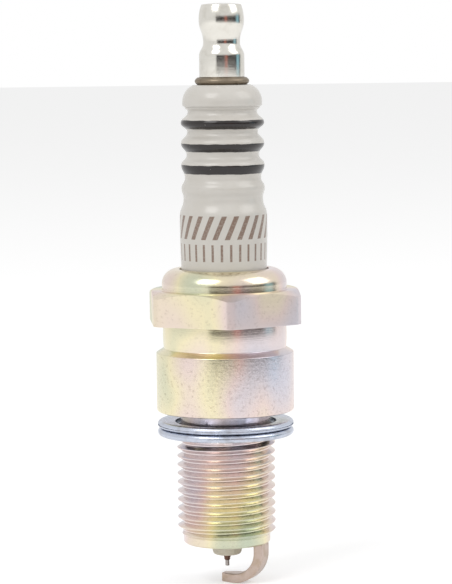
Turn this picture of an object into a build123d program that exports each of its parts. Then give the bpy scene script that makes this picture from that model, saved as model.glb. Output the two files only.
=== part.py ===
from build123d import *
from math import radians, sqrt, tan
import os

# Spark plug with a 14 mm thread, a built-in resistor and a fine-wire tip.
# The axis is Z, the origin lies on it in the plane of the gasket seat, and +Z points to the terminal.
# All sizes are millimetres. Radii and heights of an outline are written as (radius, height).

# Mounting thread, right-hand
THREAD_DIAMETER = 14.0
THREAD_PITCH = 1.25
THREAD_REACH = 19.0          # from the gasket seat to the end of the shell
NECK_LENGTH = 3.7            # plain neck between the seat and the first thread
NECK_STEP = 0.17             # how far the neck stands out from the thread root
PILOT_LENGTH = 1.2           # plain end below the last thread
PILOT_CHAMFER = 0.25
THREAD_PHASE = -0.585        # height above the end of the shell where the thread's line starts, at +X
THREAD_WALL = 1.13           # metal between the thread root and the bore

# Shell above the seat
FLANGE_HEIGHT = 8.42
FLANGE_MARGIN = 0.08         # how far the flange stands out past the gasket
FLANGE_ROUND = 0.35
FLANGE_SLOPE = 0.66          # height of the slope between flange and waist
WAIST_HEIGHT = 3.62
WAIST_BULGE = 0.1
WAIST_WALL = 1.1
HEX_ACROSS_FLATS = 20.8
HEX_HEIGHT = 4.7
HEX_CORNER_CUT = 0.31        # taken off each sharp corner by turning
HEX_CHAMFER_ANGLE = 30.0
COLLAR_STEP = 0.15           # how far the collar stands out past the waist
COLLAR_STRAIGHT = 0.8
COLLAR_HEIGHT = 2.92
LIP_THICKNESS = 1.2
LIP_GAP = 0.3                # between the crimped lip and the ceramic
FLOOR_HEIGHT = 1.2           # height above the seat where the wide bore ends
LEDGE_DEPTH = 6.5            # depth below the seat of the ledge that carries the ceramic
LEDGE_WIDTH = 0.85
LEDGE_LAND = 0.9
NOSE_BORE_STEP = 0.45        # how much wider the bore is below the ledge
CONE_SLOPE = tan(radians(30))

# Ground electrode
STRAP_WIDTH = 2.7
STRAP_THICKNESS = 1.3
STRAP_INSET = 0.28           # from the thread root to the strap's outer face
STRAP_BEND = 4.5             # outer radius of the bend
STRAP_OVERHANG = 0.6         # how far the arm reaches past the axis
STRAP_TIP_WIDTH = 1.3
STRAP_TAPER_LENGTH = 1.9
STRAP_AZIMUTH = -28.4        # degrees about Z, from +X
SPARK_GAP = 0.95

# Gasket, folded from thin sheet
SHEET = 0.36
GASKET_HEIGHT = 2.25
GASKET_DROP = 1.2            # how far it hangs below the seat, which is how far it can rise
GASKET_CLEARANCE = 0.25      # between the thread crests and the inner edge
GASKET_WIDTH = 2.45
FOLD_WIDTH = 1.55            # reach of the inner folds from the outer edge
FOLD_SPACING = 0.44
GASKET_DISH = 0.25           # how far the top layer slopes down towards its inner edge
TAB_COUNT = 3
TAB_ANGLE = 24.0
TAB_CLEARANCE = 0.35         # between the staked tabs and the neck

# Insulator, outside the shell
INSULATOR_TOP = 46.3
TOP_RADIUS = 4.1
HEAD_RADIUS = 5.65
HEAD_SHOULDER = 43.9
HEAD_UNDERSIDE = 43.25
HEAD_CORNER = 0.3
# Turning points of the ribs, from the groove under the head down to the last groove
RIBS = ((4.9, 42.55), (5.9, 40.95), (5.0, 39.7), (5.9, 38.1), (5.12, 36.4),
        (5.9, 35.05), (5.4, 33.2), (5.9, 31.75), (5.63, 30.3))
BODY_RADIUS = 6.2
BODY_TOP = 27.7
BODY_BOTTOM = 24.8
BODY_TAPER = 0.12            # how much thinner the ceramic is where it enters the shell

# Insulator, inside the shell
SHOULDER_STEP = 1.35         # how far the sealed shoulder stands out past the ceramic above it
SHOULDER_TOP = 12.3
SHOULDER_CLEARANCE = 0.2
INNER_CLEARANCE = 0.25       # between the ceramic's middle and the shell
LEDGE_CLEARANCE = 0.2
NOSE_RADIUS = 2.4            # at the end of the shell
NOSE_PROJECTION = 1.8        # below the end of the shell
NOSE_END_RADIUS = 1.95
NOSE_ROUND = 0.45

# Seals
PACKING_THICKNESS = 0.5      # washer on the ledge
RING_WIRE = 1.2              # wire of the two packing rings
SEAL_CLEARANCE = 0.05

# Terminal
STUD_DIAMETER = 4.0
STUD_PITCH = 0.7
STUD_HEIGHT = 7.9            # thread above the flange
STUD_CHAMFER = 0.3
STUD_FLANGE_DIAMETER = 7.7
STUD_FLANGE_THICKNESS = 1.05
STUD_FLANGE_EDGE = 0.4
STUD_END = 16.0              # height of the lower end of the stud
STUD_END_RADIUS = 1.6
KNURL_LENGTH = 2.4
KNURL_RINGS = 4
KNURL_DEPTH = 0.15
NUT_CLEARANCE = 0.06
NUT_DIAMETER = 6.4
NUT_WAIST_DIAMETER = 5.2
NUT_TOP_DIAMETER = 5.6
NUT_HEIGHT = 10.45
NUT_SKIRT = 2.95             # straight part at the bottom
NUT_WAIST_HEIGHT = 4.95
NUT_BULGE_HEIGHT = 8.1
NUT_DOME = 0.22
NUT_ROOF = 2.2               # solid metal over the stud

# Conductors inside the ceramic
BORE_RADIUS = 2.05           # stud, glass and resistor
WIRE_BORE_RADIUS = 1.3       # centre electrode
WIRE_SEAT_DEPTH = 2.0        # depth below the seat of the shoulder that carries the electrode
WIRE_RADIUS = 1.25
WIRE_HEAD_RADIUS = 1.9
WIRE_HEAD_HEIGHT = 1.0
WIRE_KNOB_RADIUS = 1.4
WIRE_KNOB_HEIGHT = 1.5
WIRE_TAPER = 1.1             # length of the taper at the end of the nose
WIRE_TAPER_RADIUS = 0.62
WIRE_END_RADIUS = 0.42
WIRE_PROJECTION = 0.6        # below the ceramic nose
WELD_HEIGHT = 0.3
TIP_RADIUS = 0.3
TIP_LENGTH = 0.8
COPPER_RADIUS = 0.7
COPPER_END = 2.6             # nickel left below the copper
GLASS_WRAP = 2.6             # how far the upper glass rises around the stud
GLASS_FLOOR = 1.5            # glass between the stud and the resistor
RESISTOR_LENGTH = 7.5

# Radii and heights that follow from these
THREAD_DEPTH_RATIO = sqrt(3) / 2 * 17 / 24
THREAD_SUNK_RATIO = 0.12     # how far a ridge is sunk into its core, per pitch
THREAD_RADIUS = THREAD_DIAMETER / 2
ROOT_RADIUS = THREAD_RADIUS - THREAD_DEPTH_RATIO * THREAD_PITCH
NECK_RADIUS = ROOT_RADIUS + NECK_STEP
SHELL_END = -THREAD_REACH
GASKET_INNER_RADIUS = THREAD_RADIUS + GASKET_CLEARANCE
GASKET_OUTER_RADIUS = GASKET_INNER_RADIUS + GASKET_WIDTH
GASKET_BOTTOM = -GASKET_DROP - GASKET_HEIGHT
FLANGE_RADIUS = GASKET_OUTER_RADIUS + FLANGE_MARGIN

STEM_RADIUS = BODY_RADIUS - BODY_TAPER
SHOULDER_RADIUS = STEM_RADIUS + SHOULDER_STEP
SHELL_BORE_RADIUS = SHOULDER_RADIUS + SHOULDER_CLEARANCE
WAIST_RADIUS = SHELL_BORE_RADIUS + WAIST_WALL
COLLAR_RADIUS = WAIST_RADIUS + COLLAR_STEP
LIP_RADIUS = STEM_RADIUS + LIP_GAP
WAIST_BOTTOM = FLANGE_HEIGHT + FLANGE_SLOPE
HEX_BOTTOM = WAIST_BOTTOM + WAIST_HEIGHT
HEX_TOP = HEX_BOTTOM + HEX_HEIGHT
LIP_TOP = HEX_TOP + COLLAR_HEIGHT
LIP_UNDERSIDE = LIP_TOP - LIP_THICKNESS

THREAD_BORE_RADIUS = ROOT_RADIUS - THREAD_WALL
LAND_RADIUS = THREAD_BORE_RADIUS - LEDGE_WIDTH
LAND_TOP = -LEDGE_DEPTH - LEDGE_WIDTH * CONE_SLOPE
LAND_BOTTOM = LAND_TOP - LEDGE_LAND
NOSE_BORE_RADIUS = LAND_RADIUS + NOSE_BORE_STEP

MIDDLE_RADIUS = THREAD_BORE_RADIUS - INNER_CLEARANCE
NECKED_RADIUS = LAND_RADIUS - LEDGE_CLEARANCE
NOSE_END = SHELL_END - NOSE_PROJECTION
RING_RADIUS = (STEM_RADIUS + SHELL_BORE_RADIUS) / 2
UPPER_RING_HEIGHT = LIP_UNDERSIDE - RING_WIRE / 2 - SEAL_CLEARANCE
LOWER_RING_HEIGHT = SHOULDER_TOP + RING_WIRE / 2 + SEAL_CLEARANCE

STUD_ROOT = INSULATOR_TOP + STUD_FLANGE_THICKNESS
STUD_TOP = STUD_ROOT + STUD_HEIGHT
NUT_TOP = STUD_ROOT + NUT_HEIGHT
UPPER_GLASS_BOTTOM = STUD_END - GLASS_FLOOR
RESISTOR_BOTTOM = UPPER_GLASS_BOTTOM - RESISTOR_LENGTH
WIRE_SEAT = -WIRE_SEAT_DEPTH
WIRE_HEAD_BOTTOM = WIRE_SEAT + (WIRE_HEAD_RADIUS - WIRE_RADIUS) * CONE_SLOPE
WIRE_HEAD_TOP = WIRE_HEAD_BOTTOM + WIRE_HEAD_HEIGHT
WIRE_TOP = WIRE_HEAD_TOP + WIRE_KNOB_HEIGHT
WIRE_END = NOSE_END - WIRE_PROJECTION
WELD_BOTTOM = WIRE_END - WELD_HEIGHT
TIP_END = WELD_BOTTOM - TIP_LENGTH
COPPER_BOTTOM = NOSE_END + COPPER_END

ARM_TOP = TIP_END - SPARK_GAP
ARM_BOTTOM = ARM_TOP - STRAP_THICKNESS
STRAP_OUTER = ROOT_RADIUS - STRAP_INSET


def turned(outline):
    """Turns a closed outline of radii and heights about Z."""
    return revolve(Plane.XZ * make_face(outline), Axis.Z)


def turned_points(*points):
    """Turns a closed outline of straight lines about Z."""
    return turned(Polyline(*points, close=True).edges())


def threaded(core, major_radius, pitch, bottom, top, start):
    """Adds a right-hand thread to a core. The thread runs out into the core at its bottom and top."""
    depth = THREAD_DEPTH_RATIO * pitch
    root_radius = major_radius - depth
    sunk = THREAD_SUNK_RATIO * pitch
    crest = pitch / 16
    base = crest + (depth + sunk) * tan(radians(30))
    path = Pos(0, 0, start) * Helix(pitch, top - start + 2 * pitch, root_radius)
    section = Plane(path @ 0, x_dir=(1, 0, 0), z_dir=path % 0) * make_face(
        Polyline((-sunk, -base), (depth, -crest), (depth, crest), (-sunk, base), close=True).edges())
    ridge = sweep(section, path=path, is_frenet=True)
    inner, outer = root_radius - 2 * sunk, major_radius + 2 * sunk
    run_out = outer - inner
    room = turned_points((0, bottom - 2 * sunk), (inner, bottom - 2 * sunk), (outer, bottom - 2 * sunk + run_out),
                         (outer, top + 2 * sunk - run_out), (inner, top + 2 * sunk), (0, top + 2 * sunk))
    return core + (ridge & room)


def shell_outer():
    """Outside of the shell as one turned blank, from the lip down to the pilot."""
    waist_middle = (WAIST_RADIUS + WAIST_BULGE, (WAIST_BOTTOM + HEX_BOTTOM) / 2)
    seat_edge = FLANGE_RADIUS - FLANGE_ROUND
    outline = Polyline((0, LIP_TOP), (0, SHELL_END), (ROOT_RADIUS - PILOT_CHAMFER, SHELL_END),
                       (ROOT_RADIUS, SHELL_END + PILOT_CHAMFER), (ROOT_RADIUS, -NECK_LENGTH - NECK_STEP),
                       (NECK_RADIUS, -NECK_LENGTH), (NECK_RADIUS, 0), (seat_edge, 0))
    outline += TangentArc((seat_edge, 0), (FLANGE_RADIUS, FLANGE_ROUND), tangent=(1, 0))
    outline += Polyline((FLANGE_RADIUS, FLANGE_ROUND), (FLANGE_RADIUS, FLANGE_HEIGHT),
                        (WAIST_RADIUS, WAIST_BOTTOM))
    outline += ThreePointArc((WAIST_RADIUS, WAIST_BOTTOM), waist_middle, (WAIST_RADIUS, HEX_BOTTOM))
    outline += Polyline((WAIST_RADIUS, HEX_BOTTOM), (COLLAR_RADIUS, HEX_BOTTOM),
                        (COLLAR_RADIUS, HEX_TOP + COLLAR_STRAIGHT))
    outline += TangentArc((COLLAR_RADIUS, HEX_TOP + COLLAR_STRAIGHT), (LIP_RADIUS, LIP_TOP), tangent=(0, 1))
    outline += Line((LIP_RADIUS, LIP_TOP), (0, LIP_TOP))
    return turned(outline.edges())


def shell_bore():
    """Space inside the shell: lip, wide bore, ledge and the room around the nose."""
    shoulder = SHELL_BORE_RADIUS - LIP_RADIUS
    cone = FLOOR_HEIGHT + (SHELL_BORE_RADIUS - THREAD_BORE_RADIUS) * CONE_SLOPE
    outline = Polyline((0, LIP_TOP), (LIP_RADIUS, LIP_TOP), (LIP_RADIUS, LIP_UNDERSIDE),
                       (SHELL_BORE_RADIUS - shoulder / 3, LIP_UNDERSIDE),
                       (SHELL_BORE_RADIUS, LIP_UNDERSIDE - shoulder / 3), (SHELL_BORE_RADIUS, cone),
                       (THREAD_BORE_RADIUS, FLOOR_HEIGHT), (THREAD_BORE_RADIUS, -LEDGE_DEPTH),
                       (LAND_RADIUS, LAND_TOP), (LAND_RADIUS, LAND_BOTTOM),
                       (NOSE_BORE_RADIUS, LAND_BOTTOM - NOSE_BORE_STEP), (NOSE_BORE_RADIUS, SHELL_END),
                       (0, SHELL_END), close=True)
    return turned(outline.edges())


def hexagon():
    """Spanner hexagon with a corner facing -Y, turned corners and a chamfered top."""
    corner_radius = HEX_ACROSS_FLATS / sqrt(3) - HEX_CORNER_CUT
    top_radius = HEX_ACROSS_FLATS / 2 - HEX_CORNER_CUT / 2
    chamfer_height = (corner_radius - top_radius) * tan(radians(HEX_CHAMFER_ANGLE))
    prism = extrude(RegularPolygon(HEX_ACROSS_FLATS / 2, 6, major_radius=False, rotation=30), HEX_HEIGHT)
    blank = turned_points((0, HEX_BOTTOM), (corner_radius, HEX_BOTTOM),
                          (corner_radius, HEX_TOP - chamfer_height), (top_radius, HEX_TOP), (0, HEX_TOP))
    return Pos(0, 0, HEX_BOTTOM) * prism & blank


def metal_shell():
    blank = shell_outer() + hexagon()
    threaded_blank = threaded(blank, THREAD_RADIUS, THREAD_PITCH, SHELL_END + PILOT_LENGTH, -NECK_LENGTH,
                              SHELL_END + THREAD_PHASE)
    return threaded_blank - shell_bore()


def ground_electrode():
    """Strap that runs down from the shell, bends under the tip and narrows past the axis."""
    middle = STRAP_OUTER - STRAP_THICKNESS / 2
    level = ARM_BOTTOM + STRAP_THICKNESS / 2
    route = FilletPolyline((middle, 0, SHELL_END), (middle, 0, level), (-STRAP_OVERHANG, 0, level),
                           radius=STRAP_BEND - STRAP_THICKNESS / 2)
    strap = sweep(Plane((middle, 0, SHELL_END), x_dir=(1, 0, 0), z_dir=(0, 0, -1))
                  * Rectangle(STRAP_THICKNESS, STRAP_WIDTH), path=route)
    half, tip_half = STRAP_WIDTH / 2, STRAP_TIP_WIDTH / 2
    taper_start = STRAP_TAPER_LENGTH - STRAP_OVERHANG
    plan = Polyline((-STRAP_OVERHANG, -tip_half), (taper_start, -half), (STRAP_OUTER, -half),
                    (STRAP_OUTER, half), (taper_start, half), (-STRAP_OVERHANG, tip_half), close=True)
    room = Pos(0, 0, ARM_BOTTOM) * extrude(make_face(plan.edges()), SHELL_END - ARM_BOTTOM)
    return Rot(0, 0, STRAP_AZIMUTH) * (strap & room)


def skin(corners, radii, distance):
    """Line of the corners, moved sideways by a distance to its left, with rounded bends."""
    corners = [Vector(*corner) for corner in corners]
    ways = [(end - start).normalized() for start, end in zip(corners, corners[1:])]
    lefts = [Vector(-way.Y, way.X) for way in ways]
    moved = [corners[0] + lefts[0] * distance]
    bends = []
    for corner, radius, before, after in zip(corners[1:], radii, zip(ways, lefts), zip(ways[1:], lefts[1:])):
        moved.append(corner + (before[1] + after[1]) * (distance / (1 + before[1].dot(after[1]))))
        turns_left = before[0].cross(after[0]).Z > 0
        bends.append(radius - distance if turns_left else radius + distance)
    moved.append(corners[-1] + lefts[-1] * distance)
    return FilletPolyline(moved, radius=bends)


def folded_sheet(corners, radii):
    """Closed outline of a sheet bent along a line of corners."""
    left = skin(corners, radii, SHEET / 2)
    right = skin(corners, radii, -SHEET / 2)
    return (left + right + Line(left @ 0, right @ 0) + Line(left @ 1, right @ 1)).edges()


def gasket():
    """Thin sheet folded into two stacked beads, with staked tabs that keep it on the plug."""
    outer = GASKET_OUTER_RADIUS - SHEET / 2
    fold = GASKET_OUTER_RADIUS - FOLD_WIDTH
    bottom = GASKET_BOTTOM + SHEET / 2
    top = -GASKET_DROP - SHEET / 2
    lower_fold = (bottom + top - FOLD_SPACING) / 2
    upper_fold = lower_fold + FOLD_SPACING
    bead = (lower_fold - bottom) * 0.48
    turn = FOLD_SPACING * 0.48
    corners = ((GASKET_INNER_RADIUS, bottom), (outer, bottom), (outer, lower_fold), (fold, lower_fold),
               (fold, upper_fold), (outer, upper_fold), (outer, top), (GASKET_INNER_RADIUS, top - GASKET_DISH))
    ring = turned(folded_sheet(corners, (bead, bead, turn, turn, bead, bead)))
    tab_inner = NECK_RADIUS + TAB_CLEARANCE
    tab_outer = GASKET_INNER_RADIUS + SHEET
    tab = revolve(Plane.XZ * Pos(tab_inner, GASKET_BOTTOM) * Rectangle(tab_outer - tab_inner, SHEET, align=Align.MIN),
                  Axis.Z, TAB_ANGLE)
    for number in range(TAB_COUNT):
        ring += Rot(0, 0, 360 / TAB_COUNT * number) * tab
    return ring


def rib_flank(start, end):
    """Smooth flank between two turning points, upright at both."""
    reach = (end[1] - start[1]) / 2
    return Bezier(start, (start[0], start[1] + reach), (end[0], end[1] - reach), end)


def insulator():
    cone = FLOOR_HEIGHT + (SHOULDER_RADIUS - MIDDLE_RADIUS) * CONE_SLOPE + INNER_CLEARANCE * 2
    seat = -LEDGE_DEPTH + PACKING_THICKNESS
    seat_bottom = seat - (MIDDLE_RADIUS - NECKED_RADIUS) * CONE_SLOPE
    nose_corner = NOSE_END + NOSE_ROUND
    outline = Polyline((0, INSULATOR_TOP), (TOP_RADIUS, INSULATOR_TOP))
    outline += TangentArc((HEAD_RADIUS, HEAD_SHOULDER), (TOP_RADIUS, INSULATOR_TOP), tangent=(0, 1))
    outline += Line((HEAD_RADIUS, HEAD_SHOULDER), (HEAD_RADIUS, HEAD_UNDERSIDE + HEAD_CORNER))
    outline += TangentArc((HEAD_RADIUS, HEAD_UNDERSIDE + HEAD_CORNER),
                          (HEAD_RADIUS - HEAD_CORNER, HEAD_UNDERSIDE), tangent=(0, -1))
    outline += rib_flank((HEAD_RADIUS - HEAD_CORNER, HEAD_UNDERSIDE), RIBS[0])
    turning_points = RIBS + ((BODY_RADIUS, BODY_TOP),)
    for start, end in zip(turning_points, turning_points[1:]):
        outline += rib_flank(start, end)
    outline += Polyline((BODY_RADIUS, BODY_TOP), (BODY_RADIUS, BODY_BOTTOM), (STEM_RADIUS, LIP_TOP),
                        (STEM_RADIUS, SHOULDER_TOP), (SHOULDER_RADIUS, SHOULDER_TOP),
                        (SHOULDER_RADIUS, cone), (MIDDLE_RADIUS, FLOOR_HEIGHT + INNER_CLEARANCE * 2),
                        (MIDDLE_RADIUS, seat), (NECKED_RADIUS, seat_bottom), (NECKED_RADIUS, LAND_BOTTOM),
                        (NOSE_RADIUS, SHELL_END), (NOSE_END_RADIUS, nose_corner))
    outline += TangentArc((NOSE_END_RADIUS, nose_corner), (NOSE_END_RADIUS - NOSE_ROUND, NOSE_END),
                          tangent=(0, -1))
    outline += Polyline((NOSE_END_RADIUS - NOSE_ROUND, NOSE_END), (0, NOSE_END), (0, INSULATOR_TOP))
    seat_drop = (BORE_RADIUS - WIRE_BORE_RADIUS) * CONE_SLOPE
    bore = turned_points((0, INSULATOR_TOP), (BORE_RADIUS, INSULATOR_TOP), (BORE_RADIUS, WIRE_SEAT + seat_drop),
                         (WIRE_BORE_RADIUS, WIRE_SEAT), (WIRE_BORE_RADIUS, NOSE_END), (0, NOSE_END))
    return turned(outline.edges()) - bore


def seat_packing():
    """Conical washer between the shell's ledge and the ceramic."""
    outer = THREAD_BORE_RADIUS - SEAL_CLEARANCE
    inner = LAND_RADIUS
    drop = (outer - inner) * CONE_SLOPE
    top = -LEDGE_DEPTH + PACKING_THICKNESS - SEAL_CLEARANCE
    bottom = -LEDGE_DEPTH + SEAL_CLEARANCE
    return turned_points((inner, bottom - drop), (outer, bottom), (outer, top), (inner, top - drop))


def packing_ring(height):
    return Pos(0, 0, height) * Torus(RING_RADIUS, RING_WIRE / 2)


def talc_fill():
    inner = STEM_RADIUS + SEAL_CLEARANCE
    outer = SHELL_BORE_RADIUS - SEAL_CLEARANCE
    bottom = LOWER_RING_HEIGHT + RING_WIRE / 2 + SEAL_CLEARANCE
    top = UPPER_RING_HEIGHT - RING_WIRE / 2 - SEAL_CLEARANCE
    return turned_points((inner, bottom), (outer, bottom), (outer, top), (inner, top))


def terminal_stud():
    """Flanged stud: thread above, plain shank and a ringed end below, where the glass grips it."""
    shank = BORE_RADIUS - SEAL_CLEARANCE * 2
    root = STUD_DIAMETER / 2 - THREAD_DEPTH_RATIO * STUD_PITCH
    flange = STUD_FLANGE_DIAMETER / 2
    middle = INSULATOR_TOP + STUD_FLANGE_THICKNESS / 2
    grip_top = STUD_END + KNURL_LENGTH
    outline = Polyline((0, STUD_TOP), (0, STUD_END), (STUD_END_RADIUS, STUD_END), (STUD_END_RADIUS, grip_top),
                       (shank, grip_top + shank - STUD_END_RADIUS), (shank, INSULATOR_TOP),
                       (flange - STUD_FLANGE_EDGE, INSULATOR_TOP))
    outline += ThreePointArc((flange - STUD_FLANGE_EDGE, INSULATOR_TOP), (flange, middle),
                             (flange - STUD_FLANGE_EDGE, STUD_ROOT))
    outline += Polyline((flange - STUD_FLANGE_EDGE, STUD_ROOT), (root, STUD_ROOT), (root, STUD_TOP), (0, STUD_TOP))
    stud = turned(outline.edges())
    groove_pitch = KNURL_LENGTH / KNURL_RINGS
    for number in range(KNURL_RINGS):
        stud -= Pos(0, 0, STUD_END + groove_pitch * (number + 0.5)) * Torus(STUD_END_RADIUS, KNURL_DEPTH)
    return threaded(stud, STUD_DIAMETER / 2, STUD_PITCH, STUD_ROOT, STUD_TOP - STUD_CHAMFER,
                    STUD_ROOT - STUD_PITCH)


def terminal_nut():
    """Waisted cap nut with a plain bore that clears the crests of the stud's thread."""
    full = NUT_DIAMETER / 2
    waist = NUT_WAIST_DIAMETER / 2
    top = NUT_TOP_DIAMETER / 2
    skirt_top = STUD_ROOT + NUT_SKIRT
    waist_height = STUD_ROOT + NUT_WAIST_HEIGHT
    bulge_height = STUD_ROOT + NUT_BULGE_HEIGHT
    bore = STUD_DIAMETER / 2 + NUT_CLEARANCE
    edge = NUT_TOP - NUT_DOME
    outline = Polyline((0, STUD_ROOT), (full, STUD_ROOT), (full, skirt_top))
    outline += rib_flank((full, skirt_top), (waist, waist_height))
    outline += rib_flank((waist, waist_height), (full, bulge_height))
    outline += TangentArc((full, bulge_height), (top, edge), tangent=(0, 1))
    outline += TangentArc((0, NUT_TOP), (top, edge), tangent=(1, 0))
    outline += Line((0, NUT_TOP), (0, STUD_ROOT))
    hole = turned_points((0, STUD_ROOT), (bore, STUD_ROOT), (bore, NUT_TOP - NUT_ROOF),
                         (0, NUT_TOP - NUT_ROOF + bore * CONE_SLOPE))
    return turned(outline.edges()) - hole


def upper_glass_seal():
    outer = BORE_RADIUS - SEAL_CLEARANCE
    inner = STUD_END_RADIUS + SEAL_CLEARANCE
    rim = STUD_END + KNURL_LENGTH - SEAL_CLEARANCE
    return turned_points((0, UPPER_GLASS_BOTTOM), (outer, UPPER_GLASS_BOTTOM), (outer, rim), (inner, rim),
                         (inner, STUD_END), (0, STUD_END))


def resistor():
    outer = BORE_RADIUS - SEAL_CLEARANCE
    return turned_points((0, RESISTOR_BOTTOM), (outer, RESISTOR_BOTTOM), (outer, UPPER_GLASS_BOTTOM),
                         (0, UPPER_GLASS_BOTTOM))


def lower_glass_seal():
    outer = BORE_RADIUS - SEAL_CLEARANCE
    inner = WIRE_KNOB_RADIUS + SEAL_CLEARANCE
    return turned_points((0, WIRE_TOP), (inner, WIRE_TOP), (inner, WIRE_HEAD_TOP), (outer, WIRE_HEAD_TOP),
                         (outer, RESISTOR_BOTTOM), (0, RESISTOR_BOTTOM))


def centre_electrode():
    """Nickel wire with a head that seats in the ceramic and a blind hole for the copper."""
    head_bottom = WIRE_HEAD_BOTTOM + SEAL_CLEARANCE
    hole = COPPER_RADIUS + SEAL_CLEARANCE
    return turned_points((0, COPPER_BOTTOM), (hole, COPPER_BOTTOM), (hole, WIRE_TOP), (WIRE_KNOB_RADIUS, WIRE_TOP),
                         (WIRE_KNOB_RADIUS, WIRE_HEAD_TOP), (WIRE_HEAD_RADIUS, WIRE_HEAD_TOP),
                         (WIRE_HEAD_RADIUS, head_bottom), (WIRE_RADIUS, WIRE_SEAT + SEAL_CLEARANCE),
                         (WIRE_RADIUS, NOSE_END + WIRE_TAPER), (WIRE_TAPER_RADIUS, NOSE_END),
                         (WIRE_END_RADIUS, WIRE_END), (0, WIRE_END))


def copper_core():
    return turned_points((0, COPPER_BOTTOM), (COPPER_RADIUS, COPPER_BOTTOM), (COPPER_RADIUS, WIRE_TOP),
                         (0, WIRE_TOP))


def tip_weld():
    """Laser weld bead, slightly proud of both wires."""
    bulge = (WIRE_END_RADIUS + TIP_RADIUS) / 2 + WELD_HEIGHT / 4
    outline = Line((0, WIRE_END), (WIRE_END_RADIUS, WIRE_END))
    outline += ThreePointArc((WIRE_END_RADIUS, WIRE_END), (bulge, WIRE_END - WELD_HEIGHT / 2),
                             (TIP_RADIUS, WELD_BOTTOM))
    outline += Polyline((TIP_RADIUS, WELD_BOTTOM), (0, WELD_BOTTOM), (0, WIRE_END))
    return turned(outline.edges())


def iridium_tip():
    return turned_points((0, WELD_BOTTOM), (TIP_RADIUS, WELD_BOTTOM), (TIP_RADIUS, TIP_END), (0, TIP_END))


def main():
    pieces = {
        "metal_shell": metal_shell(),
        "ground_electrode": ground_electrode(),
        "gasket": gasket(),
        "seat_packing": seat_packing(),
        "lower_packing_ring": packing_ring(LOWER_RING_HEIGHT),
        "talc_fill": talc_fill(),
        "upper_packing_ring": packing_ring(UPPER_RING_HEIGHT),
        "insulator": insulator(),
        "terminal_stud": terminal_stud(),
        "terminal_nut": terminal_nut(),
        "upper_glass_seal": upper_glass_seal(),
        "resistor": resistor(),
        "lower_glass_seal": lower_glass_seal(),
        "centre_electrode": centre_electrode(),
        "copper_core": copper_core(),
        "tip_weld": tip_weld(),
        "iridium_tip": iridium_tip(),
    }
    os.makedirs("parts", exist_ok=True)
    for name, piece in pieces.items():
        export_step(piece, f"parts/{name}.step")


main()
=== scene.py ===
"""Spark plug, laid out as an add-on and run as a script.

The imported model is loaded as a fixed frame. Each operator builds one piece or group in that frame,
in metres, with +Z towards the terminal and the gasket seat at zero. Outlines are written in
millimetres as (radius, height).
"""

import math

import bmesh
import bpy
from mathutils import Matrix, Vector


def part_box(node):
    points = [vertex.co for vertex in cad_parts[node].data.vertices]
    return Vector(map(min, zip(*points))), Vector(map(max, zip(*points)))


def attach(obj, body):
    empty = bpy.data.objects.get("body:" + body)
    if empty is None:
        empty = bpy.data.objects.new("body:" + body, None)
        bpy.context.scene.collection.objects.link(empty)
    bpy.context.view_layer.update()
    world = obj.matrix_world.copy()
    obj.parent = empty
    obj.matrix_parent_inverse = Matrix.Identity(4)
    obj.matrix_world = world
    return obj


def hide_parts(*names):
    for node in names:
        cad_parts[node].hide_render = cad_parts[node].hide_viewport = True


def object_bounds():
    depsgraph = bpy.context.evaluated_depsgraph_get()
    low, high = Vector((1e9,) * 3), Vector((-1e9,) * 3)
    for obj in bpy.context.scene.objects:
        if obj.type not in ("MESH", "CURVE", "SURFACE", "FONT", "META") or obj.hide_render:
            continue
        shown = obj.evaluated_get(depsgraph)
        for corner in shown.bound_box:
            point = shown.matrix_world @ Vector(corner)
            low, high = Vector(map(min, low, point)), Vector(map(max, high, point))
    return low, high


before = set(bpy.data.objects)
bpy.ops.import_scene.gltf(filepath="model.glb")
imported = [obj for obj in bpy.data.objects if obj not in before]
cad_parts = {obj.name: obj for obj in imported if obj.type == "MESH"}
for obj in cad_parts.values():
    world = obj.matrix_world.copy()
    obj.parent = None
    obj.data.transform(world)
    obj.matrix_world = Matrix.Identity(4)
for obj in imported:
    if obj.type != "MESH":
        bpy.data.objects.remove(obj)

bl_info = {
    "name": "Spark plug",
    "version": (1, 0, 0),
    "blender": (4, 5, 0),
    "location": "View3D > Sidebar > Spark plug",
    "description": "Builds a spark plug with its finishes and a plain studio",
    "category": "Add Mesh",
}

MM = 0.001
CAD_BOX = [[float(value) for value in corner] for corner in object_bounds()]
SHELL_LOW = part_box("metal_shell")[0]
NUT_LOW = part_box("terminal_nut")[0]
GASKET_LOW, GASKET_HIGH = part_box("gasket")
STRAP_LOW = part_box("ground_electrode")[0]

FULL_TURN = 2 * math.pi
THREAD_DEPTH_RATIO = math.sqrt(3) / 2 * 17 / 24
STRAP_AZIMUTH = math.radians(-28.4)
NECK_STEP = 0.17            # how far the plain neck stands out from the thread root
NECK_LENGTH = 3.7           # from the seat to the first thread
PILOT_LENGTH = 1.2          # plain end below the last thread
HEX_TOP = 17.4
STUD_PITCH = 0.7
STUD_THREAD_LOW = 47.35
STUD_THREAD_HIGH = 54.95
BODY_RADIUS = 6.2           # ceramic radius under the printed marks


def tone(red, green, blue):
    """Linear colour from the usual 0 to 255 values."""
    values = [value / 255 for value in (red, green, blue)]
    linear = [value / 12.92 if value < 0.04045 else ((value + 0.055) / 1.055) ** 2.4 for value in values]
    return linear + [1.0]


def size(label, help_text, default):
    """A length in metres that a user may change."""
    return bpy.props.FloatProperty(name=label, description=help_text, default=default, min=0,
                                   unit="LENGTH", subtype="DISTANCE", precision=5)


def colour(label, help_text, default):
    """A colour that a user may change."""
    return bpy.props.FloatVectorProperty(name=label, description=help_text, default=default, size=4,
                                         min=0, max=1, subtype="COLOR")


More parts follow.
